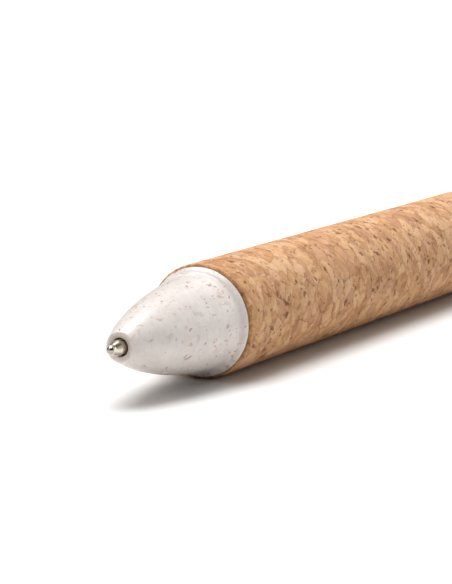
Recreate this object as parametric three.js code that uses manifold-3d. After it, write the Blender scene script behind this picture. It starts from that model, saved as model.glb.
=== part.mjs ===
// A retractable ballpoint pen with a cork barrel, lying on a table with its writing tip out.
// Millimetres. +X runs from the writing tip to the push button, +Z is up and the table is at z = 0.
// Every distance called "at" is measured along the pen's axis from the front end of the nose cone.
import * as THREE from 'three';
import { mergeVertices } from 'three/addons/utils/BufferGeometryUtils.js';
import Module from 'manifold-3d';

const wasm = await Module();
wasm.setup();

// ---- Driving dimensions ----

// Sides of the round pieces. The count is even, so a flat side of the barrel lies on the table.
const barrelSides = 32;
const innerSides = 24;
const smallSides = 16;

// Barrel
const corkRadius = 7.25;
const corkWall = 1.25;
const corkLength = 82;
const corkEdge = 0.4;
const linerWall = 1.0;
const socketDepth = 9;
const spigotRadius = 5.25;
const spigotLength = 8.5;
const fitGap = 0.05;

// Nose cone
const noseLength = 19.5;
const noseHoleRadius = 1.13;
const noseEndRadius = 1.68;
const noseLipRadius = 1.95;
const noseShoulderRadius = 6.08;
const collarRadius = 6.86;
const collarLength = 2.0;

// Refill
const tipReach = 2.5;
const tipShaftRadius = 0.92;
const ballRadius = 0.5;
const tubeRadius = 1.5;
const tubeBore = 1.1;
const tubeStart = 8.9;
const refillLength = 106.8;
const earAt = 19.4;
const springSeatAt = 5.2;

// Upper housing and its push button mechanism
const housingLength = 31.5;
const housingTopRadius = 5.7;
const sleeveRadius = 4.6;
const sleeveBore = 4.1;
const ribBore = 3.45;
const buttonRadius = 3.35;
const buttonHoleRadius = 3.5;
const buttonReach = 3.5;
const buttonTravel = 5.5;
const indexTurn = 45;
const ribCount = 4;

// Clip
const clipWidth = 5.6;
const clipOuterRadius = 10.2;
const clipArmThickness = 1.9;
const clipLength = 39.8;
const clipTongueWidth = 3.6;

// ---- Places along the pen worked out from the driving dimensions ----

const corkFront = noseLength + fitGap;
const corkBack = corkFront + corkLength;
const housingFront = corkBack + fitGap;
const housingBack = housingFront + housingLength;
const buttonBack = housingBack + buttonReach;
const ballFront = -tipReach;
const refillBack = ballFront + refillLength;
const corkBore = corkRadius - corkWall;
const linerRadius = corkBore - fitGap;

// The front ends of the guide ribs, the rotor's ring and the button's crown follow each other.
const ribFront = housingFront + 8.5;
const rotorFront = ribFront - 9;
const rotorBack = ribFront + 3;
const shoulderAt = housingFront + 22.5;
const sleeveFront = rotorFront;
const sleeveBack = shoulderAt - 0.2;
const crownAt = ribFront + 1.6;
const guideLugBack = shoulderAt - 0.3 - buttonTravel;

// ---- Building blocks ----

const degrees = THREE.MathUtils.degToRad;

// Turns an outline of [at, radius] points about the pen's axis.
// The outline either closes on itself or starts and ends on the axis.
function turned(outline, sides) {
  const points = outline.map(([at, radius]) => new THREE.Vector2(radius, at));
  if (THREE.ShapeUtils.isClockWise(points)) {
    points.reverse();
  }
  const startsOnAxis = outline[0][1] === 0;
  if (!startsOnAxis) {
    points.push(points[0].clone());
  }
  const geometry = new THREE.LatheGeometry(points, sides, Math.PI / sides);
  geometry.rotateZ(-Math.PI / 2);
  return geometry;
}

// Points of a quadratic curve between two [at, radius] points, pulled towards a third.
function bend(start, pull, end, steps) {
  const corners = [start, pull, end].map(([at, radius]) => new THREE.Vector2(at, radius));
  const curve = new THREE.QuadraticBezierCurve(...corners);
  return curve.getPoints(steps).map((point) => [point.x, point.y]);
}

// A block bent round the pen's axis between two radii and two angles (degrees from +Y towards +Z).
// Its front and back faces are given as functions of the angle from its first edge.
function bentBlock(innerRadius, outerRadius, firstAngle, stationAngles, frontAt, backAt) {
  const positions = [];
  for (const angle of stationAngles) {
    const turn = degrees(firstAngle + angle);
    const corners = [
      [frontAt(angle), innerRadius],
      [frontAt(angle), outerRadius],
      [backAt(angle), outerRadius],
      [backAt(angle), innerRadius],
    ];
    for (const [at, radius] of corners) {
      positions.push(at, radius * Math.cos(turn), radius * Math.sin(turn));
    }
  }
  const triangles = [];
  const addQuad = (a, b, c, d) => triangles.push(a, b, c, a, c, d);
  const last = (stationAngles.length - 1) * 4;
  for (let station = 0; station < last; station += 4) {
    for (let side = 0; side < 4; side += 1) {
      const next = (side + 1) % 4;
      addQuad(station + side, station + 4 + side, station + 4 + next, station + next);
    }
  }
  addQuad(0, 1, 2, 3);
  addQuad(last + 3, last + 2, last + 1, last);
  const geometry = new THREE.BufferGeometry();
  geometry.setAttribute('position', new THREE.Float32BufferAttribute(positions, 3));
  geometry.setIndex(triangles);
  return geometry;
}

function evenStations(sweep, count) {
  return Array.from({ length: count + 1 }, (unused, index) => (sweep * index) / count);
}

function box(frontAt, backAt, lowY, highY, lowZ, highZ) {
  const geometry = new THREE.BoxGeometry(backAt - frontAt, highY - lowY, highZ - lowZ);
  geometry.translate((frontAt + backAt) / 2, (lowY + highY) / 2, (lowZ + highZ) / 2);
  return geometry;
}

// Turns a closed geometry into a manifold solid that can be joined and cut.
function solid(geometry) {
  const bare = geometry.clone();
  bare.deleteAttribute('normal');
  bare.deleteAttribute('uv');
  const merged = mergeVertices(bare, 1e-5);
  const index = merged.index.array;
  const kept = [];
  for (let corner = 0; corner < index.length; corner += 3) {
    const [a, b, c] = [index[corner], index[corner + 1], index[corner + 2]];
    if (a !== b && b !== c && c !== a) {
      kept.push(a, b, c);
    }
  }
  const vertProperties = new Float32Array(merged.attributes.position.array);
  return new wasm.Manifold(new wasm.Mesh({ numProp: 3, vertProperties, triVerts: new Uint32Array(kept) }));
}

function geometryOf(manifold) {
  const { vertProperties, triVerts } = manifold.getMesh();
  const geometry = new THREE.BufferGeometry();
  geometry.setAttribute('position', new THREE.BufferAttribute(vertProperties, 3));
  geometry.setIndex(new THREE.BufferAttribute(triVerts, 1));
  return geometry;
}

function joined(geometries) {
  return geometryOf(geometries.map(solid).reduce((whole, next) => whole.add(next)));
}

// ---- Materials ----

function material(color, roughness, metalness = 0) {
  return new THREE.MeshStandardMaterial({ color, roughness, metalness });
}

const corkFinish = () => material(0xb8916c, 0.85);
const trimFinish = () => material(0xdcd6d2, 0.35);
const metalFinish = () => material(0xcfc6b4, 0.25, 1);

const pen = new THREE.Group();

function addPiece(name, geometry, finish) {
  const mesh = new THREE.Mesh(geometry, finish);
  mesh.name = name;
  pen.add(mesh);
  return mesh;
}

// ---- Barrel ----

// Both collars rise from a hollow to a rounded bead: [distance to the cork, radius], bead last.
const collarFlare = [
  [1.2, noseShoulderRadius + 0.09],
  [0.83, noseShoulderRadius + 0.23],
  [0.44, collarRadius - 0.14],
  [0.12, collarRadius],
  [0, collarRadius],
];

// Thin cork tube with its two edges slightly broken.
function corkSleeve() {
  return turned([
    [corkFront, corkBore],
    [corkFront, corkRadius - corkEdge],
    [corkFront + corkEdge, corkRadius],
    [corkBack - corkEdge, corkRadius],
    [corkBack, corkRadius - corkEdge],
    [corkBack, corkBore],
  ], barrelSides);
}

// Plastic tube that the cork is glued on, with a wider socket at each end.
function barrelLiner() {
  const front = corkFront + 0.3;
  const back = corkBack - 0.3;
  const socketBore = spigotRadius + fitGap;
  const bore = linerRadius - linerWall;
  return turned([
    [front, socketBore],
    [front, linerRadius],
    [back, linerRadius],
    [back, socketBore],
    [back - socketDepth, socketBore],
    [back - socketDepth, bore],
    [front + socketDepth, bore],
    [front + socketDepth, socketBore],
  ], barrelSides);
}

// Pointed front piece: rounded lip, convex taper, collar against the cork and a plain spigot behind.
function noseCone() {
  const taperStart = [0.22, noseLipRadius];
  const taperPull = [7.2, 5.13];
  const taperEnd = [noseLength - collarLength, noseShoulderRadius];
  const lipPull = [0, noseLipRadius - 0.09];
  const spigotBack = noseLength + spigotLength;
  const holeLength = 1.4;
  const chamberRadius = noseHoleRadius + 0.15;
  const chamberFront = 2;
  const springBore = 2.4;
  const springBoreBack = 12;
  const rearBore = 4.0;
  const rearBoreFront = 17;
  return turned([
    [0, noseHoleRadius],
    ...bend([0, noseEndRadius], lipPull, taperStart, 3),
    ...bend(taperStart, taperPull, taperEnd, 9).slice(1),
    ...collarFlare.map(([before, radius]) => [noseLength - before, radius]),
    [noseLength, spigotRadius],
    [spigotBack, spigotRadius],
    [spigotBack, rearBore],
    [rearBoreFront, rearBore],
    [springBoreBack, springBore],
    [springSeatAt, springBore],
    [springSeatAt, chamberRadius],
    [chamberFront, chamberRadius],
    [holeLength, noseHoleRadius],
  ], barrelSides);
}

// ---- Refill ----

// Metal point: a cone round the ball, a thin shaft and a shank pressed into the ink tube.
function refillTip() {
  const ballAt = ballFront + ballRadius;
  const lipAt = ballAt - 0.14;
  const lipRadius = ballRadius + 0.07;
  const coneFrontRadius = 0.6;
  const coneBack = -0.8;
  const shaftBack = 6;
  const bodyFront = 6.6;
  const bodyRadius = tubeRadius - 0.1;
  const inkBore = 0.3;
  const shankFront = tubeStart - fitGap;
  const shankBack = tubeStart + 3.5;
  const shankRadius = tubeBore - fitGap;
  return turned([
    [lipAt, ballRadius],
    [lipAt, lipRadius],
    [ballAt + 0.35, coneFrontRadius],
    [coneBack, tipShaftRadius],
    [shaftBack, tipShaftRadius],
    [bodyFront, bodyRadius],
    [shankFront, bodyRadius],
    [shankFront, shankRadius],
    [shankBack, shankRadius],
    [shankBack, inkBore],
    [ballAt + 0.55, inkBore],
    [ballAt + 0.25, ballRadius],
    [ballAt, ballRadius + 0.05],
  ], smallSides);
}

function writingBall() {
  const geometry = new THREE.SphereGeometry(ballRadius, 16, 10);
  geometry.translate(ballFront + ballRadius, 0, 0);
  return geometry;
}

// Ink tube with two ears crimped out of it, which the return spring pushes on.
function refillTube() {
  const earLength = 2;
  const earRoot = 1.3;
  const earReach = 2.15;
  const earThickness = 0.5;
  const tube = turned([
    [tubeStart, tubeBore],
    [tubeStart, tubeRadius],
    [refillBack, tubeRadius],
    [refillBack, tubeBore],
  ], smallSides);
  const ears = [-1, 1].map((side) => {
    const [low, high] = [side * earRoot, side * earReach].sort((a, b) => a - b);
    return box(earAt, earAt + earLength, low, high, -earThickness / 2, earThickness / 2);
  });
  return joined([tube, ...ears]);
}

// Ink from behind the metal point up to the level it has been written down to.
function inkColumn() {
  const writtenLength = 18;
  const radius = tubeBore - 0.1;
  const front = tubeStart + 3.8;
  const back = refillBack - writtenLength;
  return turned([[front, 0], [front, radius], [back, radius], [back, 0]], smallSides);
}

// Compression spring between the seat inside the nose cone and the refill's ears.
class Helix extends THREE.Curve {
  constructor(frontAt, backAt, radius, turns) {
    super();
    Object.assign(this, { frontAt, backAt, radius, turns });
  }

  getPoint(fraction, target = new THREE.Vector3()) {
    const angle = fraction * this.turns * 2 * Math.PI;
    const at = THREE.MathUtils.lerp(this.frontAt, this.backAt, fraction);
    return target.set(at, this.radius * Math.cos(angle), this.radius * Math.sin(angle));
  }
}

function returnSpring() {
  const wireRadius = 0.19;
  const turns = 9;
  const stepsPerTurn = 14;
  const coilRadius = 1.9;
  const endGap = wireRadius + 0.1;
  const path = new Helix(springSeatAt + endGap, earAt - endGap, coilRadius, turns);
  const section = new THREE.Shape();
  section.absarc(0, 0, wireRadius, 0, 2 * Math.PI);
  const settings = { steps: turns * stepsPerTurn, extrudePath: path, curveSegments: 3 };
  return new THREE.ExtrudeGeometry(section, settings);
}

// ---- Push button mechanism ----

// How far the rotor moves along the pen for each degree it turns, as one ramp for ribs and lugs.
const ramp = buttonTravel / indexTurn;
const lugSweep = 12;
const ribSweep = 42.3;
const grooveSweep = 360 / ribCount - ribSweep;
const lugGap = 0.12;
const lugRoot = 3.2;
const toothHeight = 0.8;
const rampSweep = lugSweep + 0.3;

// Guide sleeve: a tube with ribs along its back half, whose front ends slope off to one side.
function guideSleeve() {
  const tube = turned([
    [sleeveFront, sleeveBore],
    [sleeveFront, sleeveRadius],
    [sleeveBack, sleeveRadius],
    [sleeveBack, sleeveBore],
  ], innerSides);
  const rampStart = ribSweep - rampSweep;
  const leadIn = 10;
  const plateau = rampStart - leadIn;
  const stations = [0, plateau / 2, plateau, rampStart, rampStart + rampSweep / 2, ribSweep];
  const frontFace = (angle) => ribFront + ramp * (Math.max(angle, plateau) - rampStart);
  const rootRadius = (sleeveBore + sleeveRadius) / 2;
  const ribs = [];
  for (let rib = 0; rib < ribCount; rib += 1) {
    const firstAngle = (360 / ribCount) * rib;
    const backFace = () => sleeveBack;
    ribs.push(bentBlock(ribBore, rootRadius, firstAngle, stations, frontFace, backFace));
  }
  return joined([tube, ...ribs]);
}

// Saw teeth round a ring, pointing forwards or backwards from the ring's end face.
function sawTeeth(ringAt, height, firstAngle, innerRadius) {
  const toothCount = 8;
  const toothSweep = 360 / toothCount;
  const toothGap = 1;
  const rootDepth = 0.4 * Math.sign(height);
  const teeth = [];
  for (let tooth = 0; tooth < toothCount; tooth += 1) {
    const start = firstAngle + toothSweep * tooth;
    const slope = (angle) => ringAt + height * (0.05 + (0.95 * angle) / toothSweep);
    const root = () => ringAt - rootDepth;
    const [frontFace, backFace] = height > 0 ? [root, slope] : [slope, root];
    const stations = evenStations(toothSweep - toothGap, 4);
    teeth.push(bentBlock(innerRadius, buttonRadius, start, stations, frontFace, backFace));
  }
  return teeth;
}

// Rotor that turns an eighth of a turn on each click and carries the back end of the refill.
function camRotor() {
  const neckRadius = 2.5;
  const ringFront = ribFront - 4;
  const socketRadius = tubeRadius + 0.1;
  const socketFloor = refillBack + 0.1;
  const pinRadius = 2.3;
  const pinBore = 1.0;
  const core = turned([
    [rotorFront, socketRadius],
    [rotorFront, neckRadius],
    [ringFront, neckRadius],
    [ringFront, buttonRadius],
    [ribFront, buttonRadius],
    [ribFront, pinRadius],
    [rotorBack, pinRadius],
    [rotorBack, pinBore],
    [socketFloor, pinBore],
    [socketFloor, socketRadius],
  ], innerSides);
  const lugs = [];
  for (let lug = 0; lug < ribCount; lug += 1) {
    const firstAngle = (360 / ribCount) * lug + ribSweep - lugSweep - 0.15;
    const frontFace = () => ringFront;
    const backFace = (angle) => ribFront - lugGap + ramp * angle;
    const stations = evenStations(lugSweep, 3);
    lugs.push(bentBlock(lugRoot, sleeveBore - lugGap, firstAngle, stations, frontFace, backFace));
  }
  return joined([core, ...lugs, ...sawTeeth(ribFront, toothHeight, 0, pinRadius + 0.2)]);
}

// Hollow push button with a rounded end, guide lugs in the sleeve's grooves and a toothed crown.
function pushButton() {
  const boreRadius = 2.6;
  const endWall = 1.6;
  const roundingStart = [buttonBack - 0.65, buttonRadius];
  const roundingEnd = [buttonBack, buttonRadius - 0.75];
  const stemFront = crownAt + toothHeight;
  const stem = turned([
    [stemFront, boreRadius],
    [stemFront, buttonRadius],
    ...bend(roundingStart, [buttonBack, buttonRadius], roundingEnd, 3),
    [buttonBack, 0],
    [buttonBack - endWall, 0],
    [buttonBack - endWall, boreRadius - 0.2],
  ], innerSides);
  const lugLength = 4;
  const guideSweep = 30;
  const guideLugs = [];
  for (let lug = 0; lug < ribCount; lug += 1) {
    const firstAngle = (360 / ribCount) * lug + ribSweep + (grooveSweep - guideSweep) / 2;
    const frontFace = () => guideLugBack - lugLength;
    const backFace = () => guideLugBack;
    const stations = evenStations(guideSweep, 4);
    guideLugs.push(bentBlock(lugRoot, sleeveBore - lugGap, firstAngle, stations, frontFace, backFace));
  }
  return joined([stem, ...guideLugs, ...sawTeeth(stemFront, -toothHeight, 0, boreRadius)]);
}

// ---- Upper housing and clip ----

// The clip is turned down to the far side until its outer edge just meets the table.
const axisHeight = corkRadius * Math.cos(Math.PI / barrelSides);
const edgeReach = Math.hypot(clipOuterRadius, clipWidth / 2);
const clipAngle = Math.atan2(clipWidth / 2, clipOuterRadius) + Math.acos((axisHeight - 0.02) / edgeReach);
const clipTurn = Math.PI + clipAngle;

// The clip's root sits in a pocket near the back end of the housing.
const pocketAt = housingBack - 6.8;
const pocketLength = 4;
const pocketFloor = 4.05;
const tongueGap = 0.4;

function upperHousing() {
  const front = housingFront - spigotLength;
  const bore = sleeveRadius + fitGap;
  const roundingStart = [housingBack - 1.2, housingTopRadius];
  const roundingEnd = [housingBack, housingTopRadius - 1.1];
  const shell = solid(turned([
    [front, bore],
    [front, spigotRadius],
    [housingFront, spigotRadius],
    ...collarFlare.toReversed().map(([behind, radius]) => [housingFront + behind, radius]),
    [housingFront + collarLength, noseShoulderRadius],
    ...bend(roundingStart, [housingBack, housingTopRadius], roundingEnd, 4),
    [housingBack, buttonHoleRadius],
    [shoulderAt, buttonHoleRadius],
    [shoulderAt, bore],
  ], barrelSides));
  const halfWidth = clipTongueWidth / 2 + 0.3;
  const pocket = box(pocketAt, pocketAt + pocketLength, -halfWidth, halfWidth, pocketFloor, clipOuterRadius);
  pocket.rotateX(clipTurn);
  return geometryOf(shell.subtract(solid(pocket)));
}

// Clip arm over the barrel with a bump that grips cloth against the cork, and a tongue at its root.
function clip() {
  const back = pocketAt + pocketLength + 0.2;
  const front = back - clipLength;
  const armUnder = clipOuterRadius - clipArmThickness;
  const neckUnder = 6.1;
  const neckFront = back - 4.2;
  const bumpRadius = corkRadius + 0.12;
  const side = new THREE.Shape();
  side.moveTo(back, neckUnder);
  side.lineTo(back, clipOuterRadius - 1.6);
  side.quadraticCurveTo(back, clipOuterRadius, back - 1.8, clipOuterRadius);
  side.lineTo(front + 1.2, clipOuterRadius);
  side.quadraticCurveTo(front, clipOuterRadius, front, clipOuterRadius - 1.2);
  side.quadraticCurveTo(front + 0.4, bumpRadius, front + 2.6, bumpRadius);
  side.quadraticCurveTo(front + 4.2, bumpRadius, front + 6.4, armUnder);
  side.lineTo(neckFront - 1.2, armUnder);
  side.quadraticCurveTo(neckFront, armUnder, neckFront, armUnder - 1.2);
  side.lineTo(neckFront, neckUnder);
  const arm = new THREE.ExtrudeGeometry(side, { depth: clipWidth, bevelEnabled: false, curveSegments: 4 });
  arm.translate(0, 0, -clipWidth / 2);
  arm.rotateX(Math.PI / 2);
  const tongueFront = pocketAt + tongueGap;
  const tongueBack = pocketAt + pocketLength - tongueGap;
  const halfTongue = clipTongueWidth / 2;
  const tongueFoot = pocketFloor + 0.35;
  const tongue = box(tongueFront, tongueBack, -halfTongue, halfTongue, tongueFoot, neckUnder + 0.4);
  return joined([arm, tongue]).rotateX(clipTurn);
}

// ---- Assembly ----

addPiece('nose_cone', noseCone(), trimFinish());
addPiece('cork_sleeve', corkSleeve(), corkFinish());
addPiece('barrel_liner', barrelLiner(), material(0xd8d2c8, 0.5));
addPiece('upper_housing', upperHousing(), trimFinish());
addPiece('clip', clip(), trimFinish());
addPiece('guide_sleeve', guideSleeve(), material(0xe6e4e0, 0.4));
addPiece('push_button', pushButton(), trimFinish());
addPiece('cam_rotor', camRotor(), material(0xe6e4e0, 0.4));
addPiece('return_spring', returnSpring(), material(0xc9c9cc, 0.3, 1));
addPiece('refill_tube', refillTube(), material(0xe9edf2, 0.3));
addPiece('ink', inkColumn(), material(0x14204a, 0.5));
addPiece('refill_tip', refillTip(), metalFinish());
addPiece('writing_ball', writingBall(), material(0xb8b8b8, 0.15, 1));

pen.position.set(-(ballFront + buttonBack) / 2, 0, axisHeight);

export default pen;
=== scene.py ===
"""Looks for a retractable ballpoint pen with a cork barrel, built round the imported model.

Everything is in metres in the model's own frame: +X runs from the writing tip to the push button,
+Z is up and the table is z = 0. Outlines are lists of (at, radius) in millimetres, where "at" is the
distance along the pen's axis from the front end of the nose cone.
"""
import math

import bpy
import bmesh
import numpy as np
from mathutils import Matrix, Vector


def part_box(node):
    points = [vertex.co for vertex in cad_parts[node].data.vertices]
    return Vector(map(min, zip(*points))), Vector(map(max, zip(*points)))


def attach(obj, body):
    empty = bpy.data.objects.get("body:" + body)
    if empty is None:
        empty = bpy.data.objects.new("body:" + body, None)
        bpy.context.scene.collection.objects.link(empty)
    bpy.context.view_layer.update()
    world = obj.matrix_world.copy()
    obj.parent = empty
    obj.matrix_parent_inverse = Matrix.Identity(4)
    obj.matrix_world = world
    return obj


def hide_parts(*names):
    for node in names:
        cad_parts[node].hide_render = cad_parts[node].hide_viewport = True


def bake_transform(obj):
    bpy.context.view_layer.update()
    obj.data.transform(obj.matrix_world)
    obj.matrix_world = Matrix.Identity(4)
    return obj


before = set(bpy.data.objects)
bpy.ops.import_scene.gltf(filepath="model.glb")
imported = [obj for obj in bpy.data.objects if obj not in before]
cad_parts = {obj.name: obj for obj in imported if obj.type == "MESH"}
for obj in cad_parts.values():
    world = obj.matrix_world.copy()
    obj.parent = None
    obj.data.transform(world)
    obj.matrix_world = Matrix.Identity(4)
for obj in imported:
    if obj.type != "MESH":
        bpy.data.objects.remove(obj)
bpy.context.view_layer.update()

MM = 0.001
NOSE_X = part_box("nose_cone")[0][0]
CORK_LOW, CORK_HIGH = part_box("cork_sleeve")
AXIS_Z = (CORK_LOW[2] + CORK_HIGH[2]) / 2


def at_of(x):
    """Distance along the pen, in millimetres, of a place on the X axis."""
    return (x - NOSE_X) / MM


# ---- Driving dimensions, in millimetres ----

CORK_FRONT = at_of(CORK_LOW[0])
CORK_BACK = at_of(CORK_HIGH[0])
CORK_RADIUS = (CORK_HIGH[2] - CORK_LOW[2]) / 2 / MM
CORK_BORE = 6.0
HOUSING_FRONT = CORK_BACK + 0.05
HOUSING_BACK = at_of(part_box("upper_housing")[1][0])
BUTTON_BACK = at_of(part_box("push_button")[1][0])
BALL_FRONT = at_of(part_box("writing_ball")[0][0])
BALL_RADIUS = 0.5
TIP_SHAFT_RADIUS = 0.93
TUBE_FRONT = at_of(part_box("refill_tube")[0][0])
TUBE_BACK = at_of(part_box("refill_tube")[1][0])
EAR_AT = 19.4
NOSE_BACK = at_of(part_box("nose_cone")[1][0])
NOSE_LENGTH = 19.5
NOSE_HOLE_RADIUS = 1.12
SHOULDER_RADIUS = 6.08
COLLAR_RADIUS = 6.86
COLLAR_LENGTH = 2.0
SPIGOT_RADIUS = 5.22
SOCKET_BORE = 5.3
HOUSING_BORE = 4.66
BUTTON_RADIUS = 3.35
BUTTON_HOLE_RADIUS = 3.5
SPRING_SEAT = 5.2
CLIP_WIDTH = 5.6
CLIP_OUTER_RADIUS = 10.2
CLIP_UNDER_RADIUS = 8.3
CLIP_BACK = HOUSING_BACK - 2.6
CLIP_FRONT = at_of(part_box("clip")[0][0])
AXIS_HEIGHT = AXIS_Z / MM
ACROSS = (0.0, 1.0, 1.0)  # leaves out the part of a vector that lies along the pen
THREAD_PITCH = 0.9
THREAD_DEPTH = 0.28


# ---- Mesh building ----

def rounded(outline, steps=4):
    """An outline whose points may carry a third value, the radius that their corner is rounded to."""
    points = []
    count = len(outline)
    for index, entry in enumerate(outline):
        corner = Vector(entry[:2])
        if len(entry) == 2:
            points.append(tuple(corner))
            continue
        before = (Vector(outline[index - 1][:2]) - corner).normalized()
        after = (Vector(outline[(index + 1) % count][:2]) - corner).normalized()
        half = before.angle(after) / 2
        cut = entry[2] / math.tan(half)
        start, end = corner + before * cut, corner + after * cut
        middle = corner + (before + after).normalized() * (entry[2] / math.sin(half))
        for step in range(steps + 1):
            chord = start.lerp(end, step / steps) - middle
            points.append(tuple(middle + chord.normalized() * entry[2]))
    return points


def bend(start, pull, end, steps):
    """Points of a quadratic curve between two (at, radius) points, pulled towards a third."""
    points = []
    for step in range(steps + 1):
        t = step / steps
        weights = ((1 - t) ** 2, 2 * t * (1 - t), t ** 2)
        points.append(tuple(sum(w * p[k] for w, p in zip(weights, (start, pull, end))) for k in (0, 1)))
    return points


def spaced(start, end, step):
    """Points on the straight line between two (at, radius) points, no further apart than step."""
    count = max(1, math.ceil(math.dist(start, end) / step))
    return [tuple(np.add(start, np.subtract(end, start) * index / count)) for index in range(count)]


def finish_mesh(name, verts, faces):
    """Adds a smooth-shaded piece with this mesh to the scene."""
    mesh = bpy.data.meshes.new(name)
    mesh.from_pydata(verts, [], faces)
    mesh.validate()
    shade(mesh)
    piece = bpy.data.objects.new(name, mesh)
    bpy.context.scene.collection.objects.link(piece)
    return piece


def shade(mesh, sharp_degrees=32):
    """Turns the faces outwards and shades them smooth, except across edges sharper than this."""
    work = bmesh.new()
    work.from_mesh(mesh)
    bmesh.ops.recalc_face_normals(work, faces=work.faces)
    work.to_mesh(mesh)
    work.free()
    mesh.polygons.foreach_set("use_smooth", [True] * len(mesh.polygons))
    mesh.set_sharp_from_angle(angle=math.radians(sharp_degrees))


def turned(name, outline, sides=128, shape=None, slide=None):
    """Turns an outline about the pen's axis. A radius of 0 makes one point on the axis.

    shape(at, radius, angle) may change the radius from place to place, and slide() the place along the axis.
    """
    verts, rings = [], []
    for at, radius in outline:
        if radius < 1e-6:
            rings.append([len(verts)] * sides)
            verts.append((NOSE_X + at * MM, 0.0, AXIS_Z))
            continue
        rings.append(list(range(len(verts), len(verts) + sides)))
        for side in range(sides):
            angle = 2 * math.pi * side / sides
            reach = (shape(at, radius, angle) if shape else radius) * MM
            along = (slide(at, radius, angle) if slide else at) * MM
            verts.append((NOSE_X + along, reach * math.sin(angle), AXIS_Z + reach * math.cos(angle)))
    closed = outline[0][1] > 0
    faces = []
    for index in range(len(rings) if closed else len(rings) - 1):
        ring, following = rings[index], rings[(index + 1) % len(rings)]
        for side in range(sides):
            other = (side + 1) % sides
            corners = [ring[side], ring[other], following[other], following[side]]
            face = list(dict.fromkeys(corners))
            if len(face) > 2:
                faces.append(face)
    return finish_mesh(name, verts, faces)


def applied(piece):
    """Makes what the piece's modifiers give its own mesh."""
    graph = bpy.context.evaluated_depsgraph_get()
    mesh = bpy.data.meshes.new_from_object(piece.evaluated_get(graph))
    piece.modifiers.clear()
    old = piece.data
    piece.data = mesh
    bpy.data.meshes.remove(old)
    mesh.name = piece.name
    return piece


def thread(first, last, crest, depth, pitch):
    """A shape for turned(): a round thread between two places, starting at the crest radius."""
    def shape(at, radius, angle):
        if not first < at < last or abs(radius - crest) > 1e-6:
            return radius
        wave = 0.5 - 0.5 * math.cos(2 * math.pi * (at - first) / pitch - angle)
        fade = min(1, (at - first) / 0.6, (last - at) / 0.6)
        return radius + depth * fade * wave ** 1.5
    return shape


# ---- Node building ----

class Nodes:
    """Adds nodes to a shader or geometry node tree and links their sockets by value or by socket."""

    def __init__(self, tree):
        self.tree = tree

    def add(self, kind, inputs=(), **settings):
        node = self.tree.nodes.new(kind)
        for key, value in settings.items():
            setattr(node, key, value)
        for key, value in dict(inputs).items():
            self.feed(node.inputs[key], value)
        return node

    def feed(self, socket, value):
        if isinstance(value, bpy.types.NodeSocket):
            self.tree.links.new(value, socket)
        else:
            socket.default_value = value

    def math(self, operation, a, b=0.0):
        return self.add("ShaderNodeMath", {0: a, 1: b}, operation=operation).outputs[0]

    def vector(self, operation, a, b=(0.0, 0.0, 0.0)):
        return self.add("ShaderNodeVectorMath", {0: a, 1: b}, operation=operation).outputs[0]

    def scaled(self, a, factors):
        return self.vector("MULTIPLY", a, factors)

    def span(self, value, low, high, to_low=0.0, to_high=1.0):
        """Smooth step of a value from one span to another."""
        inputs = {0: value, 1: low, 2: high, 3: to_low, 4: to_high}
        return self.add("ShaderNodeMapRange", inputs, interpolation_type="SMOOTHSTEP").outputs[0]

    def noise(self, vector, scale, detail=2.0, roughness=0.5):
        inputs = {"Vector": vector, "Scale": scale, "Detail": detail, "Roughness": roughness}
        return self.add("ShaderNodeTexNoise", inputs)

    def length(self, vector):
        return self.add("ShaderNodeVectorMath", {0: vector}, operation="LENGTH").outputs["Value"]

    def cells(self, vector, feature="F1"):
        """A cell pattern whose cells are about one unit wide."""
        inputs = {"Vector": vector, "Scale": 1.0, "Randomness": 1.0}
        return self.add("ShaderNodeTexVoronoi", inputs, feature=feature)

    def parts(self, vector):
        """The three parts of a vector or colour."""
        return self.add("ShaderNodeSeparateXYZ", {0: vector}).outputs

    def blend(self, factor, a, b):
        return self.add("ShaderNodeMix", {0: factor, 6: a, 7: b}, data_type="RGBA").outputs[2]

    def ramp(self, factor, stops):
        node = self.add("ShaderNodeValToRGB", {0: factor})
        elements = node.color_ramp.elements
        while len(elements) < len(stops):
            elements.new(0.5)
        for element, (place, color) in zip(elements, stops):
            element.position = place
            element.color = color
        return node.outputs[0]


def srgb(red, green, blue):
    """A linear colour with full alpha from 0 to 255 display values."""
    def linear(value):
        value /= 255
        return value / 12.92 if value <= 0.04045 else ((value + 0.055) / 1.055) ** 2.4
    return (linear(red), linear(green), linear(blue), 1.0)


def new_material(name):
    """A material with a bare Principled shader. Returns it, its node builder and the shader node."""
    material = bpy.data.materials.new(name)
    material.use_nodes = True
    nodes = Nodes(material.node_tree)
    shader = material.node_tree.nodes["Principled BSDF"]
    return material, nodes, shader


def millimetres(nodes):
    """The place in the piece's own frame, in millimetres, with the pen's axis at y = z = 0."""
    place = nodes.add("ShaderNodeTexCoord").outputs["Object"]
    centred = nodes.vector("SUBTRACT", place, (0.0, 0.0, AXIS_Z))
    return nodes.scaled(centred, (1 / MM, 1 / MM, 1 / MM))


# ---- Cork ----

def unrolled(nodes, place):
    """The place on the flat sheet the cork was rolled from: along, around and out, in millimetres."""
    along, side, up = nodes.parts(place)
    around = nodes.math("MULTIPLY", nodes.math("ARCTAN2", side, up), CORK_RADIUS)
    out = nodes.length(nodes.scaled(place, ACROSS))
    return nodes.add("ShaderNodeCombineXYZ", {0: along, 1: around, 2: out}).outputs[0]


def grains(nodes, sheet, turn, width, length, feature="F1"):
    """Cells of a sheet that are longer one way: their long side leans from "around" by turn, in degrees."""
    leaning = nodes.add("ShaderNodeVectorRotate", {"Vector": sheet, "Angle": math.radians(turn)},
                        rotation_type="Z_AXIS").outputs[0]
    return nodes.cells(nodes.scaled(leaning, (1 / width, 1 / length, 1 / width)), feature)


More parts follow.
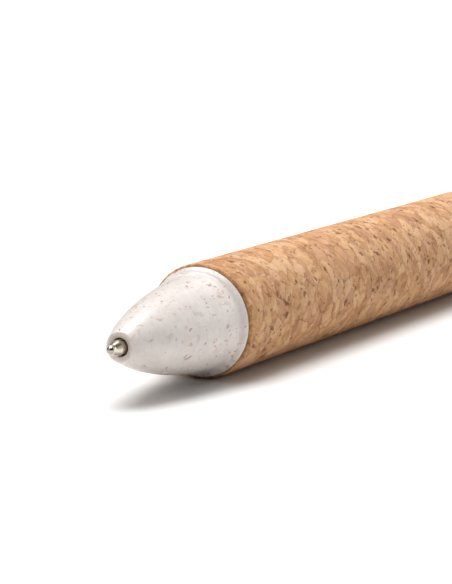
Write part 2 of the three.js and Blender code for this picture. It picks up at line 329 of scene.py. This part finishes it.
def cork_fields(nodes, place):
    """The pattern of agglomerated cork at a place in millimetres, for both its colour and its relief."""
    sheet = unrolled(nodes, place)
    for scale, reach in ((0.35, 1.8), (1.6, 0.5)):
        sway = nodes.noise(place, scale, 2.0, 0.5).outputs["Color"]
        sway = nodes.scaled(nodes.vector("SUBTRACT", sway, (0.5,) * 3), (reach,) * 3)
        sheet = nodes.vector("ADD", sheet, sway)
    granule_shape = (14, 1.9, 2.4)
    granule = nodes.parts(grains(nodes, sheet, *granule_shape).outputs["Color"])
    seam_distance = grains(nodes, sheet, *granule_shape, "DISTANCE_TO_EDGE").outputs["Distance"]
    chip = nodes.parts(grains(nodes, sheet, -18, 0.9, 1.1).outputs["Color"])
    pale, dull = 0.0, 0.0
    for turn, width, length in ((32, 1.6, 3.2), (-24, 1.4, 2.8), (58, 1.1, 2.4)):
        leaf = grains(nodes, sheet, turn, width, length)
        chance = nodes.parts(leaf.outputs["Color"])
        inside = nodes.span(leaf.outputs["Distance"], 0.46, 0.36)
        is_pale = nodes.math("MULTIPLY", inside, nodes.span(chance[0], 0.76, 0.84))
        is_dull = nodes.math("MULTIPLY", inside, nodes.span(chance[0], 0.22, 0.14))
        pale = nodes.math("MAXIMUM", pale, is_pale)
        dull = nodes.math("MAXIMUM", dull, is_dull)
    fibre = nodes.noise(nodes.scaled(sheet, (0.6, 0.65, 1.0)), 2.2, 4.0, 0.62).outputs[0]
    fine = nodes.noise(nodes.scaled(place, (0.7, 1.0, 1.0)), 3.6, 3.0, 0.65).outputs[0]
    broad = nodes.noise(place, 0.22, 2.0).outputs[0]
    crowd = nodes.span(nodes.noise(place, 0.35, 2.0).outputs[0], 0.36, 0.62, 0.45, 1.5)
    pit_cell = grains(nodes, sheet, 24, 1.5, 1.2)
    pit_size = nodes.span(nodes.parts(pit_cell.outputs["Color"])[0], 0.5, 1.0, 0.0, 0.27)
    pit_reach = nodes.math("MULTIPLY", pit_size, crowd)
    pit_reach = nodes.math("SUBTRACT", pit_reach, pit_cell.outputs["Distance"])
    pit = nodes.span(nodes.math("ADD", pit_reach, nodes.math("MULTIPLY", fine, 0.2)), 0.07, 0.2)
    speck_cell = grains(nodes, sheet, -20, 0.75, 0.6)
    speck_size = nodes.span(nodes.parts(speck_cell.outputs["Color"])[1], 0.6, 1.0, 0.0, 0.44)
    speck_reach = nodes.math("MULTIPLY", speck_size, crowd)
    speck_reach = nodes.math("SUBTRACT", speck_reach, speck_cell.outputs["Distance"])
    speck = nodes.span(speck_reach, 0.0, 0.18)
    broken = nodes.span(nodes.noise(place, 0.8, 3.0, 0.65).outputs[0], 0.5, 0.64)
    crack = nodes.math("MULTIPLY", nodes.span(seam_distance, 0.06, 0.0), broken)
    return {
        "tone": granule[0], "hue": granule[1], "chip": chip[0], "pale": pale, "dull": dull, "fibre": fibre,
        "fine": fine, "broad": broad, "seam": nodes.span(seam_distance, 0.13, 0.0), "crack": crack,
        "pit": pit, "speck": speck,
    }


def cork_material():
    material, nodes, shader = new_material("cork")
    place = millimetres(nodes)
    field = cork_fields(nodes, place)
    mix = nodes.math("MULTIPLY", field["tone"], 0.36)
    for name, share in (("chip", 0.16), ("fibre", 0.3), ("broad", 0.24)):
        mix = nodes.math("ADD", mix, nodes.math("MULTIPLY", field[name], share))
    color = nodes.ramp(mix, [
        (0.22, srgb(165, 117, 77)),
        (0.42, srgb(196, 149, 104)),
        (0.58, srgb(211, 166, 121)),
        (0.80, srgb(215, 175, 138)),
    ])
    rosy = nodes.span(field["hue"], 0.5, 1.0, 0.0, 0.65)
    color = nodes.blend(rosy, color, srgb(188, 138, 104))
    color = nodes.blend(nodes.math("MULTIPLY", field["pale"], 0.4), color, srgb(219, 179, 143))
    color = nodes.blend(nodes.math("MULTIPLY", field["dull"], 0.44), color, srgb(154, 103, 70))
    darker = nodes.math("MULTIPLY", nodes.span(field["fine"], 0.5, 0.3), 0.34)
    color = nodes.blend(darker, color, srgb(142, 94, 62))
    color = nodes.blend(nodes.math("MULTIPLY", field["seam"], 0.24), color, srgb(146, 97, 64))
    color = nodes.blend(nodes.math("MULTIPLY", field["crack"], 0.65), color, srgb(104, 56, 22))
    color = nodes.blend(nodes.math("MULTIPLY", field["speck"], 0.56), color, srgb(112, 60, 22))
    color = nodes.blend(nodes.math("MULTIPLY", field["pit"], 0.72), color, srgb(100, 50, 14))
    # Darker ragged band along the cork's front end where it meets the collar: partly painted shade of the
    # joint, partly dirt on the cut cork.
    from_front = nodes.math("SUBTRACT", nodes.parts(place)[0], CORK_LOW[0] / MM)
    ragged = nodes.math("SUBTRACT", from_front, nodes.span(field["fibre"], 0.4, 0.7, 0.0, 0.5))
    joint_shade_and_dirt = nodes.math("MULTIPLY", nodes.span(ragged, 0.16, -0.1), 0.45)
    color = nodes.blend(joint_shade_and_dirt, color, srgb(116, 66, 32))
    nodes.feed(shader.inputs["Base Color"], color)
    nodes.feed(shader.inputs["Roughness"], nodes.span(field["fibre"], 0.2, 0.8, 0.6, 0.8))
    shader.inputs["Specular IOR Level"].default_value = 0.15
    grain_height = nodes.math("ADD", field["fine"], nodes.math("MULTIPLY", field["fibre"], 0.6))
    bump = nodes.add("ShaderNodeBump", {"Height": grain_height, "Strength": 0.4, "Distance": 0.04 * MM})
    nodes.feed(shader.inputs["Normal"], bump.outputs[0])
    return material


def raise_cork(piece):
    """Gives the cork's outer face its real relief: sunken pits, specks and cracks, uneven granules."""
    tree = bpy.data.node_groups.new("cork_relief", "GeometryNodeTree")
    tree.interface.new_socket("Geometry", in_out="INPUT", socket_type="NodeSocketGeometry")
    tree.interface.new_socket("Geometry", in_out="OUTPUT", socket_type="NodeSocketGeometry")
    nodes = Nodes(tree)
    start = nodes.add("NodeGroupInput")
    centred = nodes.vector("SUBTRACT", nodes.add("GeometryNodeInputPosition").outputs[0], (0, 0, AXIS_Z))
    place = nodes.scaled(centred, (1 / MM, 1 / MM, 1 / MM))
    field = cork_fields(nodes, place)
    height = nodes.math("MULTIPLY", field["tone"], 0.035)
    height = nodes.math("ADD", height, nodes.math("MULTIPLY", field["fibre"], 0.05))
    for name, depth in (("pit", 0.05), ("speck", 0.025), ("crack", 0.04), ("seam", 0.02)):
        height = nodes.math("SUBTRACT", height, nodes.math("MULTIPLY", field[name], depth))
    outward = nodes.vector("NORMALIZE", nodes.scaled(centred, ACROSS))
    radius = nodes.length(nodes.scaled(place, ACROSS))
    outer = nodes.span(radius, CORK_RADIUS - 0.6, CORK_RADIUS - 0.1, 0.0, MM)
    even_height = 0.05
    reach = nodes.math("MULTIPLY", nodes.math("SUBTRACT", height, even_height), outer)
    offset = nodes.add("ShaderNodeVectorMath", {0: outward, "Scale": reach}, operation="SCALE").outputs[0]
    moved = nodes.add("GeometryNodeSetPosition", {"Geometry": start.outputs[0], "Offset": offset})
    end = nodes.add("NodeGroupOutput")
    tree.links.new(moved.outputs[0], end.inputs[0])
    piece.modifiers.new("relief", "NODES").node_group = tree
    applied(piece)
    shade(piece.data, 60)


def cork_sleeve():
    """Tube of cork with rounded outer edges, finely divided along its length for the relief."""
    edge = 0.45
    shoulder = [(CORK_FRONT + edge, CORK_RADIUS), (CORK_BACK - edge, CORK_RADIUS)]
    front = rounded([(CORK_FRONT, CORK_BORE), (CORK_FRONT, CORK_RADIUS, edge), shoulder[1]])[1:-1]
    back = rounded([shoulder[0], (CORK_BACK, CORK_RADIUS, edge), (CORK_BACK, CORK_BORE)])[1:-1]
    outline = [(CORK_FRONT, CORK_BORE), (CORK_FRONT, CORK_BORE + 0.5), *front]
    outline += spaced(front[-1], back[0], 0.25)[1:]
    outline += [*back, (CORK_BACK, CORK_BORE + 0.5), (CORK_BACK, CORK_BORE)]
    piece = turned("cork_sleeve_fine", outline, 224)
    raise_cork(piece)
    return piece


# ---- Speckled plastic ----

def flecks(nodes, place, cell, turn, presence, size):
    """A mask of thin fibres: cells of a stretched pattern, of which only some hold a fleck."""
    bent = nodes.noise(place, 0.5, 2.0).outputs["Color"]
    bent = nodes.scaled(nodes.vector("SUBTRACT", bent, (0.5,) * 3), (2.6,) * 3)
    turned_place = nodes.add("ShaderNodeVectorRotate", {"Vector": nodes.vector("ADD", place, bent),
                             "Rotation": turn}, rotation_type="EULER_XYZ").outputs[0]
    cells = nodes.cells(nodes.scaled(turned_place, tuple(1 / side for side in cell)))
    chance = nodes.parts(cells.outputs["Color"])
    reach = nodes.span(chance[0], 1 - presence, 1.0, 0.0, size)
    mask = nodes.span(nodes.math("SUBTRACT", reach, cells.outputs["Distance"]), 0.0, 0.12)
    return mask, chance[1]


def speckled_plastic():
    material, nodes, shader = new_material("speckled_plastic")
    place = millimetres(nodes)
    cloud = nodes.noise(place, 0.5, 4.0, 0.65).outputs[0]
    color = nodes.blend(nodes.span(cloud, 0.3, 0.7), srgb(228, 220, 215), srgb(218, 209, 204))
    streak = nodes.noise(nodes.scaled(place, (1.5, 0.5, 0.5)), 2.2, 3.0, 0.65).outputs[0]
    color = nodes.blend(nodes.span(streak, 0.5, 0.7, 0.0, 0.5), color, srgb(208, 199, 195))
    layers = [
        # cell in millimetres, turn in radians, share of cells with a fleck, size, strength
        ((2.3, 0.85, 0.85), (0.0, 0.0, 0.35), 0.55, 0.31, 0.64),
        ((1.7, 0.70, 0.70), (0.9, 0.5, -0.5), 0.55, 0.32, 0.76),
        ((1.1, 0.60, 0.60), (0.3, -0.6, 0.9), 0.55, 0.32, 0.58),
        ((1.5, 0.90, 0.90), (0.6, 0.2, 0.1), 0.9, 0.42, 0.2),
    ]
    for cell, turn, presence, size, strength in layers:
        mask, shade_of = flecks(nodes, place, cell, turn, presence, size)
        brown = nodes.ramp(shade_of, [
            (0.0, srgb(126, 84, 60)),
            (0.3, srgb(172, 126, 96)),
            (0.7, srgb(202, 162, 134)),
            (1.0, srgb(186, 166, 154)),
        ])
        color = nodes.blend(nodes.math("MULTIPLY", mask, strength), color, brown)
    # Painted shade round the writing hole: the lip darkens towards the hole near the front end.
    from_axis = nodes.length(nodes.scaled(place, ACROSS))
    from_front = nodes.math("SUBTRACT", nodes.parts(place)[0], NOSE_X / MM)
    hole_rim_painted_shade = nodes.math("MULTIPLY", nodes.span(from_axis, 1.9, 1.1), nodes.span(from_front, 0.6, 0.1, 0.0, 0.5))
    color = nodes.blend(hole_rim_painted_shade, color, srgb(158, 134, 118))
    nodes.feed(shader.inputs["Base Color"], color)
    nodes.feed(shader.inputs["Roughness"], nodes.span(cloud, 0.3, 0.7, 0.2, 0.28))
    shader.inputs["Subsurface Weight"].default_value = 0.12
    shader.inputs["Subsurface Radius"].default_value = (1.0, 0.8, 0.7)
    shader.inputs["Subsurface Scale"].default_value = 0.8 * MM
    skin = nodes.noise(place, 5.0, 2.0).outputs[0]
    bump = nodes.add("ShaderNodeBump", {"Height": skin, "Strength": 0.12, "Distance": 0.03 * MM})
    nodes.feed(shader.inputs["Normal"], bump.outputs[0])
    return material


# ---- Plain materials ----

def moulded_plastic(name, light, dark, roughness):
    """Plain moulded plastic with faint clouds in its colour and gloss."""
    material, nodes, shader = new_material(name)
    place = millimetres(nodes)
    cloud = nodes.noise(place, 0.5, 3.0).outputs[0]
    nodes.feed(shader.inputs["Base Color"], nodes.blend(cloud, light, dark))
    nodes.feed(shader.inputs["Roughness"], nodes.span(cloud, 0.2, 0.8, roughness, roughness + 0.1))
    skin = nodes.noise(place, 6.0, 2.0).outputs[0]
    bump = nodes.add("ShaderNodeBump", {"Height": skin, "Strength": 0.15, "Distance": 0.03 * MM})
    nodes.feed(shader.inputs["Normal"], bump.outputs[0])
    return material


def clear_plastic(name, tint):
    """Milky plastic that lets what is inside show faintly."""
    material, nodes, shader = new_material(name)
    place = millimetres(nodes)
    cloud = nodes.noise(nodes.scaled(place, (0.2, 1.0, 1.0)), 1.5, 3.0).outputs[0]
    nodes.feed(shader.inputs["Base Color"], nodes.blend(cloud, tint, srgb(226, 232, 238)))
    nodes.feed(shader.inputs["Roughness"], nodes.span(cloud, 0.2, 0.8, 0.18, 0.3))
    shader.inputs["Transmission Weight"].default_value = 0.55
    shader.inputs["IOR"].default_value = 1.45
    return material


def turned_metal(name, light, dark, roughness):
    """Metal with fine turning marks round the pen's axis."""
    material, nodes, shader = new_material(name)
    place = millimetres(nodes)
    marks = nodes.noise(nodes.scaled(place, (9.0, 0.3, 0.3)), 3.0, 3.0).outputs[0]
    nodes.feed(shader.inputs["Base Color"], nodes.blend(marks, light, dark))
    nodes.feed(shader.inputs["Roughness"], nodes.span(marks, 0.2, 0.8, roughness, roughness + 0.08))
    shader.inputs["Metallic"].default_value = 1.0
    bump = nodes.add("ShaderNodeBump", {"Height": marks, "Strength": 0.1, "Distance": 0.004 * MM})
    nodes.feed(shader.inputs["Normal"], bump.outputs[0])
    return material


# ---- Pieces ----

def collar(cork_at, towards_cork):
    """Outline of a collar: a hollow that rises steeply to a rounded bead against the cork."""
    hollow_end = (0.83, SHOULDER_RADIUS + 0.23)
    points = bend((COLLAR_LENGTH, SHOULDER_RADIUS), (0.95, SHOULDER_RADIUS + 0.07), hollow_end, 8)
    points += bend(hollow_end, (0.42, COLLAR_RADIUS), (0.08, COLLAR_RADIUS), 8)[1:]
    points.append((0, COLLAR_RADIUS - 0.06))
    return [(cork_at - towards_cork * distance, radius) for distance, radius in points]


def nose_cone():
    """Rounded lip, convex taper, collar against the cork, and a threaded spigot behind it."""
    taper_start, taper_end = (0.22, 1.95), (NOSE_LENGTH - COLLAR_LENGTH, SHOULDER_RADIUS)
    taper_pull = (7.2, 5.13)
    lip_flat, lip_pull = 1.68, 1.86
    screw_front, screw_back = NOSE_LENGTH + 0.8, NOSE_BACK - 0.4
    inner_radius = NOSE_HOLE_RADIUS + 0.15
    spring_bore, spigot_bore = 2.4, 4.0
    bore_taper_front, bore_taper_back = 12, 17
    outline = rounded([(1.4, NOSE_HOLE_RADIUS), (0, NOSE_HOLE_RADIUS, 0.1), (0, lip_flat)])
    outline += bend((0, lip_flat), (0, lip_pull), taper_start, 8)[1:]
    outline += bend(taper_start, taper_pull, taper_end, 48)[1:-1]
    outline += collar(NOSE_LENGTH, 1)
    outline += [(NOSE_LENGTH, SPIGOT_RADIUS)]
    outline += spaced((screw_front - 0.05, SPIGOT_RADIUS), (screw_back, SPIGOT_RADIUS), 0.1)
    outline += [(NOSE_BACK, SPIGOT_RADIUS - 0.1), (NOSE_BACK, spigot_bore)]
    outline += [(bore_taper_back, spigot_bore), (bore_taper_front, spring_bore), (SPRING_SEAT, spring_bore)]
    outline += [(SPRING_SEAT, inner_radius), (2, inner_radius)]
    screw = thread(screw_front, screw_back, SPIGOT_RADIUS, -THREAD_DEPTH, THREAD_PITCH)
    return turned("nose_cone_fine", outline, 160, screw)


def barrel_liner():
    """Tube under the cork, with a threaded socket for the nose cone at its front end."""
    front, back = at_of(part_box("barrel_liner")[0][0]), at_of(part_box("barrel_liner")[1][0])
    outer, bore, socket_depth = CORK_BORE - 0.06, 4.95, 9
    screw_front, screw_back = front + 0.5, front + 8.4
    outline = [(front, SOCKET_BORE), (front, outer), (back, outer), (back, SOCKET_BORE)]
    outline += [(back - socket_depth, SOCKET_BORE), (back - socket_depth, bore)]
    outline += [(front + socket_depth, bore), (front + socket_depth, SOCKET_BORE)]
    outline += spaced((screw_back, SOCKET_BORE), (screw_front, SOCKET_BORE), 0.1)
    screw = thread(screw_front, screw_back, SOCKET_BORE, THREAD_DEPTH, THREAD_PITCH)
    return turned("barrel_liner_fine", outline, 96, screw)


def refill_tip():
    """Writing point: a lip round the ball, a cone, the shaft, and a shank pressed into the ink tube."""
    ball_at = BALL_FRONT + BALL_RADIUS
    cone_back, step_front, step_radius = -0.8, 6.6, 1.4
    shank_front, shank_back, shank_radius = TUBE_FRONT - 0.05, TUBE_FRONT + 3.5, 1.05
    ink_bore = 0.3
    outline = rounded([
        (ball_at, 0.52),
        (ball_at - 0.14, 0.485),
        (ball_at - 0.14, 0.6, 0.03),
        (ball_at + 0.25, 0.64, 0.1),
        (cone_back, TIP_SHAFT_RADIUS, 0.15),
        (6.0, TIP_SHAFT_RADIUS),
        (step_front, step_radius, 0.1),
        (shank_front, step_radius),
        (shank_front, shank_radius),
        (shank_back, shank_radius),
        (shank_back, ink_bore),
        (ball_at + 0.55, ink_bore),
        (ball_at + 0.25, 0.5),
    ])
    return turned("refill_tip_fine", outline, 96)


def writing_ball():
    """Plain ball, with its poles on the pen's axis."""
    steps = 24
    half_turns = [math.pi * step / steps for step in range(steps + 1)]
    middle = BALL_FRONT + BALL_RADIUS
    outline = [(middle - BALL_RADIUS * math.cos(a), BALL_RADIUS * math.sin(a)) for a in half_turns]
    outline[0], outline[-1] = (middle - BALL_RADIUS, 0), (middle + BALL_RADIUS, 0)
    return turned("writing_ball_fine", outline, 48)


def refill_tube():
    """Ink tube, pinched across at one place so that two ears stand out."""
    radius, bore, ear_length, ear_reach, pinch = 1.5, 1.1, 2.0, 2.1, 1.16
    outline = [(TUBE_FRONT, bore), *rounded([(TUBE_FRONT, bore), (TUBE_FRONT, radius, 0.1),
               (TUBE_BACK, radius, 0.1), (TUBE_BACK, bore)])[1:-1], (TUBE_BACK, bore)]
    front_points = [point for point in outline if point[0] < EAR_AT]
    crimp = spaced((EAR_AT - 0.6, radius), (EAR_AT + ear_length + 0.6, radius), 0.15)
    back_points = [point for point in outline if point[0] > EAR_AT]

    def pinched(at, reach, angle):
        depth = min(1, max(0, 0.5 + (at - EAR_AT) / 0.5), max(0, 0.5 + (EAR_AT + ear_length - at) / 0.5))
        if reach < radius or depth <= 0:
            return reach
        side = abs(math.sin(angle)) ** 6
        return reach + depth * (side * (ear_reach - radius) - (1 - side) * (radius - pinch))
    return turned("refill_tube_fine", front_points + crimp + back_points, 64, pinched)


def return_spring():
    """Wire helix from its seat in the nose cone to the refill's ears, closed at both ends."""
    wire, coil = 0.19, 1.88
    front, back = SPRING_SEAT + wire + 0.04, EAR_AT - wire - 0.04
    turns, closed, steps, sides = 11, 1.25, 40, 12
    verts, faces = [], []
    count = turns * steps
    closed_length = closed * 2.1 * wire
    for index in range(count + 1):
        turn = index / steps
        open_share = (min(max(turn, closed), turns - closed) - closed) / (turns - 2 * closed)
        first = min(turn, closed) / closed * closed_length
        last = max(turn - (turns - closed), 0) / closed * closed_length
        at = front + first + last + open_share * (back - front - 2 * closed_length)
        angle = 2 * math.pi * turn
        outward = Vector((0, math.sin(angle), math.cos(angle)))
        centre = Vector((NOSE_X + at * MM, 0, AXIS_Z)) + outward * coil * MM
        for side in range(sides):
            around = 2 * math.pi * side / sides
            reach = outward * math.cos(around) + Vector((1, 0, 0)) * math.sin(around)
            verts.append(centre + reach * wire * MM)
    for index in range(count):
        for side in range(sides):
            other = (side + 1) % sides
            a, b = index * sides, (index + 1) * sides
            faces.append([a + side, a + other, b + other, b + side])
    faces.append(list(range(sides)))
    faces.append([count * sides + side for side in reversed(range(sides))])
    return finish_mesh("return_spring_fine", verts, faces)


def upper_housing():
    """Collar against the cork, a slight taper, a hole for the button, and a pocket for the clip's tongue."""
    front, shoulder = at_of(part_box("upper_housing")[0][0]), HOUSING_FRONT + 22.5
    collar_end = HOUSING_FRONT + COLLAR_LENGTH + 0.6
    taper_back, back_radius = HOUSING_BACK - 1.4, 5.7
    outline = rounded([(front, HOUSING_BORE), (front, SPIGOT_RADIUS, 0.3), (HOUSING_FRONT, SPIGOT_RADIUS)])
    outline += collar(HOUSING_FRONT, -1)[::-1]
    outline += spaced((collar_end, SHOULDER_RADIUS), (taper_back, back_radius), 0.8)
    outline += bend((taper_back, back_radius), (HOUSING_BACK, back_radius), (HOUSING_BACK, 4.5), 10)
    outline += rounded([(HOUSING_BACK, 4.4), (HOUSING_BACK, BUTTON_HOLE_RADIUS, 0.2),
                        (shoulder, BUTTON_HOLE_RADIUS), (shoulder, HOUSING_BORE)])[1:]
    piece = turned("upper_housing_fine", outline, 144)
    cutter = block("pocket_cutter", (HOUSING_BACK - 6.8, HOUSING_BACK - 2.8), (-2.1, 2.1), (4.05, 8))
    cutter.data.transform(clip_turn())
    pocket = piece.modifiers.new("pocket", "BOOLEAN")
    pocket.object = cutter
    pocket.operation = "DIFFERENCE"
    applied(piece)
    bpy.data.objects.remove(cutter)
    shade(piece.data)
    return piece


def clip_turn():
    """Turns the clip from straight above the pen down to the far side, until its edge meets the table."""
    reach = math.hypot(CLIP_OUTER_RADIUS, CLIP_WIDTH / 2)
    lean = math.atan2(CLIP_WIDTH / 2, CLIP_OUTER_RADIUS) + math.acos((AXIS_HEIGHT - 0.02) / reach)
    centre = Matrix.Translation((0, 0, AXIS_Z))
    return centre @ Matrix.Rotation(math.pi + lean, 4, "X") @ centre.inverted()


def block(name, ats, widths, radii):
    """A box standing on the pen's upper side: along it, across it, and between two radii."""
    verts = [(NOSE_X + at * MM, y * MM, AXIS_Z + r * MM) for at in ats for y in widths for r in radii]
    faces = [(0, 1, 3, 2), (4, 6, 7, 5), (0, 4, 5, 1), (2, 3, 7, 6), (0, 2, 6, 4), (1, 5, 7, 3)]
    return finish_mesh(name, verts, faces)


def clip():
    """Clip arm with a grip bump at its free end and a tongue at its root, with softened edges."""
    back, front = CLIP_BACK, CLIP_FRONT
    neck_under, bump_radius = 6.1, CORK_RADIUS + 0.14
    bump_front, bump_back = front + 2.6, front + 6.4
    neck_front, tip_round = back - 4.2, 1.2
    tip = (front, CLIP_OUTER_RADIUS - tip_round)
    side = bend((back, CLIP_OUTER_RADIUS - 1.8), (back, CLIP_OUTER_RADIUS),
                (back - 1.9, CLIP_OUTER_RADIUS), 8)
    side += bend((front + tip_round, CLIP_OUTER_RADIUS), (front, CLIP_OUTER_RADIUS), tip, 8)
    side += bend(tip, (front + 0.4, bump_radius), (bump_front, bump_radius), 8)[1:]
    side += bend((bump_front, bump_radius), (front + 4.2, bump_radius), (bump_back, CLIP_UNDER_RADIUS), 8)[1:]
    side += bend((back - 5.4, CLIP_UNDER_RADIUS), (neck_front, CLIP_UNDER_RADIUS),
                 (neck_front, CLIP_UNDER_RADIUS - 1.2), 6)
    side += [(neck_front, neck_under), (back, neck_under)]
    count = len(side)
    half = CLIP_WIDTH / 2
    verts = [(NOSE_X + at * MM, y * MM, AXIS_Z + r * MM) for y in (-half, half) for at, r in side]
    faces = [list(range(count)), [count + index for index in reversed(range(count))]]
    for index in range(count):
        other = (index + 1) % count
        faces.append([index, count + index, count + other, other])
    piece = finish_mesh("clip_fine", verts, faces)
    edge = piece.modifiers.new("edge", "BEVEL")
    edge.width = 0.35 * MM
    edge.segments = 4
    edge.limit_method = "ANGLE"
    edge.angle_limit = math.radians(40)
    applied(piece)
    tongue = block("tongue", (HOUSING_BACK - 6.4, HOUSING_BACK - 3.2), (-1.8, 1.8), (4.4, neck_under + 0.4))
    joint = piece.modifiers.new("tongue", "BOOLEAN")
    joint.object = tongue
    joint.operation = "UNION"
    applied(piece)
    bpy.data.objects.remove(tongue)
    piece.data.transform(clip_turn())
    shade(piece.data)
    return piece


def push_button():
    """Hollow button with a shallow dish in its end, four guide lugs and a crown of eight saw teeth."""
    crown, bore = at_of(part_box("push_button")[0][0]), 2.6
    tooth_height, tooth_sweep = 0.8, 45
    stem_front = crown + tooth_height + 0.1
    lug_back = HOUSING_FRONT + 16.7
    lug_front = lug_back - 4
    lug_radius, lug_sweep, lug_middle, lug_spacing, lug_step = 3.98, 30, 66.15, 90, 0.02
    edge_front, dish = BUTTON_BACK - 0.9, BUTTON_BACK - 0.15
    outline = [(stem_front, bore), (crown, bore), (crown, BUTTON_RADIUS), (stem_front, BUTTON_RADIUS)]
    for edge in (lug_front - lug_step, lug_front, lug_back, lug_back + lug_step, BUTTON_BACK - 1.0):
        outline.append((edge, BUTTON_RADIUS))
    outline += bend((edge_front, BUTTON_RADIUS), (BUTTON_BACK, BUTTON_RADIUS), (BUTTON_BACK, 2.5), 8)
    outline += bend((BUTTON_BACK, 2.4), (dish, 1.6), (dish, 0), 8)
    outline += [(BUTTON_BACK - 1.6, 0), (BUTTON_BACK - 1.6, bore - 0.2)]

    def from_side(angle):
        """Degrees from +Y towards +Z, a hair more so that a place on a tooth's start belongs to it."""
        return 90 - math.degrees(angle) + 1e-6

    def lugged(at, radius, angle):
        off = (from_side(angle) - lug_middle) % lug_spacing
        on_lug = min(off, lug_spacing - off) < lug_sweep / 2
        if on_lug and radius >= BUTTON_RADIUS and lug_front <= at <= lug_back:
            return lug_radius
        return radius

    def toothed(at, radius, angle):
        if at > crown:
            return at
        return crown + 0.95 * tooth_height * (1 - from_side(angle) % tooth_sweep / tooth_sweep)
    return turned("push_button_fine", outline[::-1], 144, lugged, toothed)


# ---- Camera, floor and lights ----

# The camera looks past the middle of the cork's front end, turned, lowered, rolled and shifted a little.
CORK_FACE = Vector((CORK_LOW[0], 0.0, AXIS_Z))
VIEW_TURN = math.radians(28.094)
VIEW_DROP = math.radians(9.116)
VIEW_ROLL = math.radians(-0.4)
VIEW_DISTANCE = 320.5 * MM
VIEW_LEFT = 3.255 * MM
VIEW_UP = 3.644 * MM
LENS = 160.3
SENSOR = 36.0


def add_camera():
    level = Vector((math.cos(VIEW_TURN), math.sin(VIEW_TURN), 0))
    forward = level * math.cos(VIEW_DROP) - Vector((0, 0, 1)) * math.sin(VIEW_DROP)
    right = forward.cross(Vector((0, 0, 1))).normalized()
    up = right.cross(forward)
    data = bpy.data.cameras.new("camera")
    data.sensor_fit = "VERTICAL"
    data.sensor_height = SENSOR
    data.lens = LENS
    data.clip_start = 0.01
    data.clip_end = 100
    camera = bpy.data.objects.new("camera", data)
    bpy.context.scene.collection.objects.link(camera)
    turn = Matrix((right, up, -forward)).transposed()
    spot = CORK_FACE + right * VIEW_LEFT + up * VIEW_UP - forward * VIEW_DISTANCE
    camera.matrix_world = Matrix.Translation(spot) @ turn.to_4x4() @ Matrix.Rotation(VIEW_ROLL, 4, "Z")
    bpy.context.scene.camera = camera


def add_floor():
    half = 12.0
    verts = [(-half, -half, 0), (half, -half, 0), (half, half, 0), (-half, half, 0)]
    floor = finish_mesh("floor", verts, [(0, 1, 2, 3)])
    material, _, shader = new_material("floor")
    shader.inputs["Base Color"].default_value = (0.8, 0.79, 0.78, 1)
    shader.inputs["Roughness"].default_value = 0.9
    shader.inputs["Specular IOR Level"].default_value = 0.0
    floor.data.materials.append(material)


WORLD_GREY = 0.064
# Soft lights at infinity: name, azimuth from +X towards +Y, elevation, angular size, strength.
STUDIO_LIGHTS = [
    ("overhead", 70, 75, 50, 3.3),
    ("ceiling", 0, 90, 50, 0.9),
    ("front", 150, 40, 40, 0.58),
    ("behind", 0, 20, 40, 0.92),
    ("side", 320, 12, 40, 0.59),
]


def add_lights():
    for name, azimuth, elevation, size, strength in STUDIO_LIGHTS:
        data = bpy.data.lights.new(name, "SUN")
        data.energy = strength
        data.angle = math.radians(size)
        light = bpy.data.objects.new(name, data)
        light.rotation_euler = (0, math.radians(90 - elevation), math.radians(azimuth))
        bpy.context.scene.collection.objects.link(light)
    world = bpy.data.worlds.new("studio")
    world.use_nodes = True
    grey = (WORLD_GREY, WORLD_GREY, WORLD_GREY, 1)
    world.node_tree.nodes["Background"].inputs["Color"].default_value = grey
    bpy.context.scene.world = world


# ---- Assembly ----

speckled = speckled_plastic()
FINISHES = {
    "cork": cork_material(),
    "speckled_plastic": speckled,
    "liner_plastic": moulded_plastic("liner_plastic", srgb(222, 214, 200), srgb(206, 197, 182), 0.45),
    "mechanism_plastic": moulded_plastic("mechanism_plastic", srgb(238, 236, 232), srgb(226, 224, 220), 0.35),
    "refill_plastic": clear_plastic("refill_plastic", srgb(238, 242, 246)),
    "ink": moulded_plastic("ink", srgb(20, 30, 90), srgb(12, 18, 60), 0.3),
    "nickel_silver": turned_metal("nickel_silver", srgb(226, 216, 200), srgb(206, 196, 180), 0.24),
    "ball_metal": turned_metal("ball_metal", srgb(186, 180, 174), srgb(160, 155, 150), 0.12),
    "spring_steel": turned_metal("spring_steel", srgb(190, 190, 194), srgb(166, 166, 170), 0.25),
}
FINE_PIECES = [
    # node, maker of the piece that stands for it, body, material slot
    ("nose_cone", nose_cone, "nose", "speckled_plastic"),
    ("cork_sleeve", cork_sleeve, "barrel", "cork"),
    ("barrel_liner", barrel_liner, "barrel", "liner_plastic"),
    ("upper_housing", upper_housing, "barrel", "speckled_plastic"),
    ("clip", clip, "clip_arm", "speckled_plastic"),
    ("push_button", push_button, "button", "speckled_plastic"),
    ("refill_tube", refill_tube, "refill", "refill_plastic"),
    ("refill_tip", refill_tip, "refill", "nickel_silver"),
    ("writing_ball", writing_ball, "ball", "ball_metal"),
]
# Nodes inside the pen that keep their plain solid, with the slot of each.
KEPT_NODES = {"guide_sleeve": "mechanism_plastic", "cam_rotor": "mechanism_plastic", "ink": "ink"}

add_camera()
add_floor()
add_lights()

for node, make, body, slot in FINE_PIECES:
    piece = make()
    piece.data.materials.append(FINISHES[slot])
    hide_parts(node)
    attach(piece, body)

spring = return_spring()
spring.data.materials.append(FINISHES["spring_steel"])
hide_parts("return_spring")
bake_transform(spring)

for node, slot in KEPT_NODES.items():
    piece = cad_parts[node]
    piece.data.materials.clear()
    piece.data.materials.append(FINISHES[slot])

bpy.context.scene.view_settings.view_transform = "Standard"
